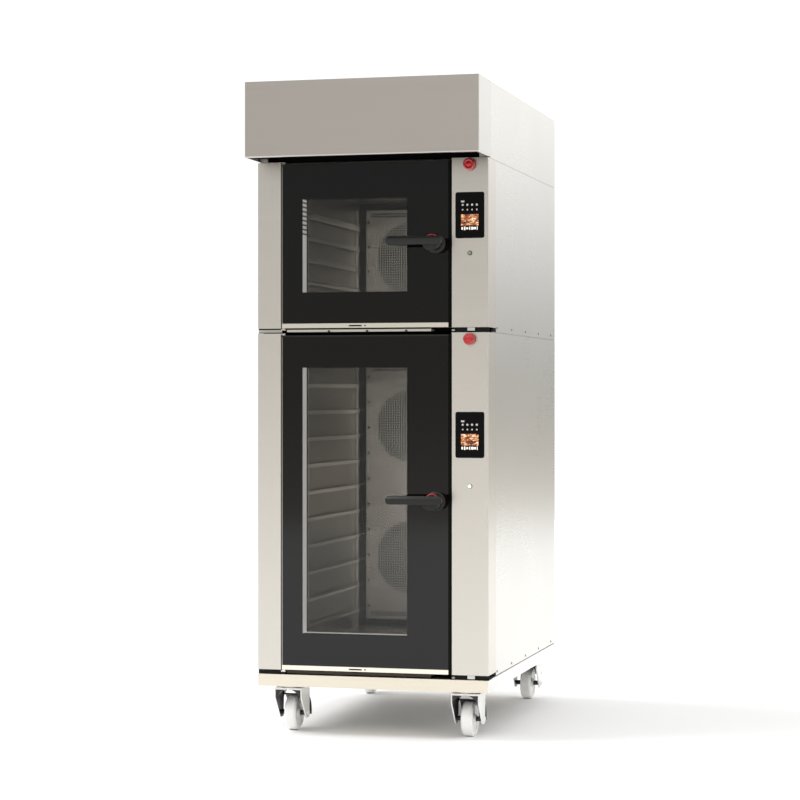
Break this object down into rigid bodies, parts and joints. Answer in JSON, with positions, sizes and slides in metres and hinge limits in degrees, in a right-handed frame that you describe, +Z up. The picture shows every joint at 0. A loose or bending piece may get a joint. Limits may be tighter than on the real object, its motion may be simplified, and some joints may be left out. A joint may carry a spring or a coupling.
{
  "type": "convection oven stack",
  "caption": "Stacked bakery convection ovens with glass doors, side-hinged, under an extraction hood, on a frame with swivel castors.",
  "frame": {"origin": "centre of the bounding box footprint, on the floor under the castors", "axes": "+Z up from the floor; -Y is the front, where the doors are; +X is the operator right, on the control side"},
  "size_m": [0.8524, 1.407, 2.366],
  "materials": {
    "stainless": "brushed",
    "zinc": "zinc plated",
    "seal": "matt",
    "wool": "fibrous",
    "motor_enamel": "satin",
    "element_steel": "oxidised",
    "black_glass": "gloss",
    "electronics": "matt",
    "brass_fitting": "satin",
    "hood_paint": "satin",
    "side_sheet": "brushed",
    "casing_sheet": "galvanised",
    "front_sheet": "brushed",
    "chamber_steel": "satin",
    "door_steel": "brushed",
    "door_glass": "gloss",
    "inner_glass": "gloss",
    "lamp_diffuser": "frosted",
    "handle_plastic": "satin",
    "stop_red": "gloss",
    "start_grey": "satin",
    "fan_steel": "satin",
    "castor_white": "satin",
    "wheel_white": "satin"
  },
  "bodies": {
    "oven_stack": {"base_frame": "stainless", "castor_plates": "zinc", "castor_bolts": "zinc", "door_gaskets": "seal", "insulation": "wool", "fan_motors": "motor_enamel", "heating_elements": "element_steel", "door_hinges_and_keepers": "stainless", "touch_screens": "black_glass", "control_electronics": "electronics", "drip_gutters": "stainless", "panel_rivets": "stainless", "service_fittings": "brass_fitting", "hood_fascia": "hood_paint", "hood_casing": "side_sheet", "hood_filter": "stainless", "exhaust_collar": "stainless", "lower_casing": "casing_sheet", "lower_side_panels": "side_sheet", "lower_left_stile": "front_sheet", "lower_control_fascia": "front_sheet", "lower_chamber": "chamber_steel", "lower_air_baffle": "chamber_steel", "lower_shelf_racks": "chamber_steel", "upper_casing": "casing_sheet", "upper_side_panels": "side_sheet", "upper_left_stile": "front_sheet", "upper_control_fascia": "front_sheet", "upper_chamber": "chamber_steel", "upper_air_baffle": "chamber_steel", "upper_shelf_racks": "chamber_steel"},
    "lower_door": {"lower_door_frame": "door_steel", "lower_door_outer_glass": "door_glass", "lower_door_inner_glass": "inner_glass", "lower_door_lamp": "lamp_diffuser", "lower_handle_rosette": "handle_plastic"},
    "lower_handle": {"lower_door_handle": "handle_plastic"},
    "lower_stop": {"lower_stop_button": "stop_red"},
    "lower_start": {"lower_start_button": "start_grey"},
    "upper_door": {"upper_door_frame": "door_steel", "upper_door_outer_glass": "door_glass", "upper_door_inner_glass": "inner_glass", "upper_door_lamp": "lamp_diffuser", "upper_handle_rosette": "handle_plastic"},
    "upper_handle": {"upper_door_handle": "handle_plastic"},
    "upper_stop": {"upper_stop_button": "stop_red"},
    "upper_start": {"upper_start_button": "start_grey"},
    "upper_fan_wheel": {"upper_fan": "fan_steel"},
    "lower_fan_top_wheel": {"lower_fan_top": "fan_steel"},
    "lower_fan_bottom_wheel": {"lower_fan_bottom": "fan_steel"},
    "hood_fan_wheel": {"hood_fan": "fan_steel"},
    "castor_front_left_swivel": {"castor_fork_front_left": "castor_white"},
    "castor_front_left_wheel": {"castor_wheel_front_left": "wheel_white"},
    "castor_front_right_swivel": {"castor_fork_front_right": "castor_white"},
    "castor_front_right_wheel": {"castor_wheel_front_right": "wheel_white"},
    "castor_rear_left_swivel": {"castor_fork_rear_left": "castor_white"},
    "castor_rear_left_wheel": {"castor_wheel_rear_left": "wheel_white"},
    "castor_rear_right_swivel": {"castor_fork_rear_right": "castor_white"},
    "castor_rear_right_wheel": {"castor_wheel_rear_right": "wheel_white"}
  },
  "joints": [
    {"name": "lower_door_hinge", "type": "hinge", "parent": "oven_stack", "child": "lower_door", "pos_m": [-0.328, -0.5475, 0.84075], "axis": [0, 0, -1], "range_deg": [0, 110]},
    {"name": "lower_handle_turn", "type": "hinge", "parent": "lower_door", "child": "lower_handle", "pos_m": [0.236, -0.6315, 0.8435], "axis": [0, -1, 0], "range_deg": [0, 90]},
    {"name": "lower_stop_press", "type": "slide", "parent": "oven_stack", "child": "lower_stop", "axis": [0, 1, 0], "range_m": [0, 0.004], "stiffness_N_per_m": 1500},
    {"name": "lower_start_press", "type": "slide", "parent": "oven_stack", "child": "lower_start", "axis": [0, 1, 0], "range_m": [0, 0.002], "stiffness_N_per_m": 1000},
    {"name": "upper_door_hinge", "type": "hinge", "parent": "oven_stack", "child": "upper_door", "pos_m": [-0.328, -0.5475, 1.75325], "axis": [0, 0, -1], "range_deg": [0, 110]},
    {"name": "upper_handle_turn", "type": "hinge", "parent": "upper_door", "child": "upper_handle", "pos_m": [0.236, -0.6315, 1.7545], "axis": [0, -1, 0], "range_deg": [0, 90]},
    {"name": "upper_stop_press", "type": "slide", "parent": "oven_stack", "child": "upper_stop", "axis": [0, 1, 0], "range_m": [0, 0.004], "stiffness_N_per_m": 1500},
    {"name": "upper_start_press", "type": "slide", "parent": "oven_stack", "child": "upper_start", "axis": [0, 1, 0], "range_m": [0, 0.002], "stiffness_N_per_m": 1000},
    {"name": "upper_fan_spin", "type": "hinge", "parent": "oven_stack", "child": "upper_fan_wheel", "pos_m": [-0.0632, 0.3795, 1.75325], "axis": [0, 1, 0], "continuous": true},
    {"name": "lower_fan_top_spin", "type": "hinge", "parent": "oven_stack", "child": "lower_fan_top_wheel", "pos_m": [-0.0632, 0.3795, 1.09725], "axis": [0, 1, 0], "continuous": true},
    {"name": "lower_fan_bottom_spin", "type": "hinge", "parent": "oven_stack", "child": "lower_fan_bottom_wheel", "pos_m": [-0.0632, 0.3795, 0.58425], "axis": [0, 1, 0], "continuous": true},
    {"name": "hood_fan_spin", "type": "hinge", "parent": "oven_stack", "child": "hood_fan_wheel", "pos_m": [0, 0.3735, 2.205], "axis": [0, 0, 1], "continuous": true},
    {"name": "castor_front_left_swivel_turn", "type": "hinge", "parent": "oven_stack", "child": "castor_front_left_swivel", "pos_m": [-0.328, -0.4565, 0.16], "axis": [0, 0, 1], "continuous": true},
    {"name": "castor_front_left_wheel_roll", "type": "hinge", "parent": "castor_front_left_swivel", "child": "castor_front_left_wheel", "pos_m": [-0.328, -0.4175, 0.0625], "axis": [1, 0, 0], "continuous": true},
    {"name": "castor_front_right_swivel_turn", "type": "hinge", "parent": "oven_stack", "child": "castor_front_right_swivel", "pos_m": [0.328, -0.4565, 0.16], "axis": [0, 0, 1], "continuous": true},
    {"name": "castor_front_right_wheel_roll", "type": "hinge", "parent": "castor_front_right_swivel", "child": "castor_front_right_wheel", "pos_m": [0.328, -0.4175, 0.0625], "axis": [1, 0, 0], "continuous": true},
    {"name": "castor_rear_left_swivel_turn", "type": "hinge", "parent": "oven_stack", "child": "castor_rear_left_swivel", "pos_m": [-0.328, 0.6015, 0.16], "axis": [0, 0, 1], "continuous": true},
    {"name": "castor_rear_left_wheel_roll", "type": "hinge", "parent": "castor_rear_left_swivel", "child": "castor_rear_left_wheel", "pos_m": [-0.328, 0.6405, 0.0625], "axis": [1, 0, 0], "continuous": true},
    {"name": "castor_rear_right_swivel_turn", "type": "hinge", "parent": "oven_stack", "child": "castor_rear_right_swivel", "pos_m": [0.328, 0.6015, 0.16], "axis": [0, 0, 1], "continuous": true},
    {"name": "castor_rear_right_wheel_roll", "type": "hinge", "parent": "castor_rear_right_swivel", "child": "castor_rear_right_wheel", "pos_m": [0.328, 0.6405, 0.0625], "axis": [1, 0, 0], "continuous": true}
  ]
}
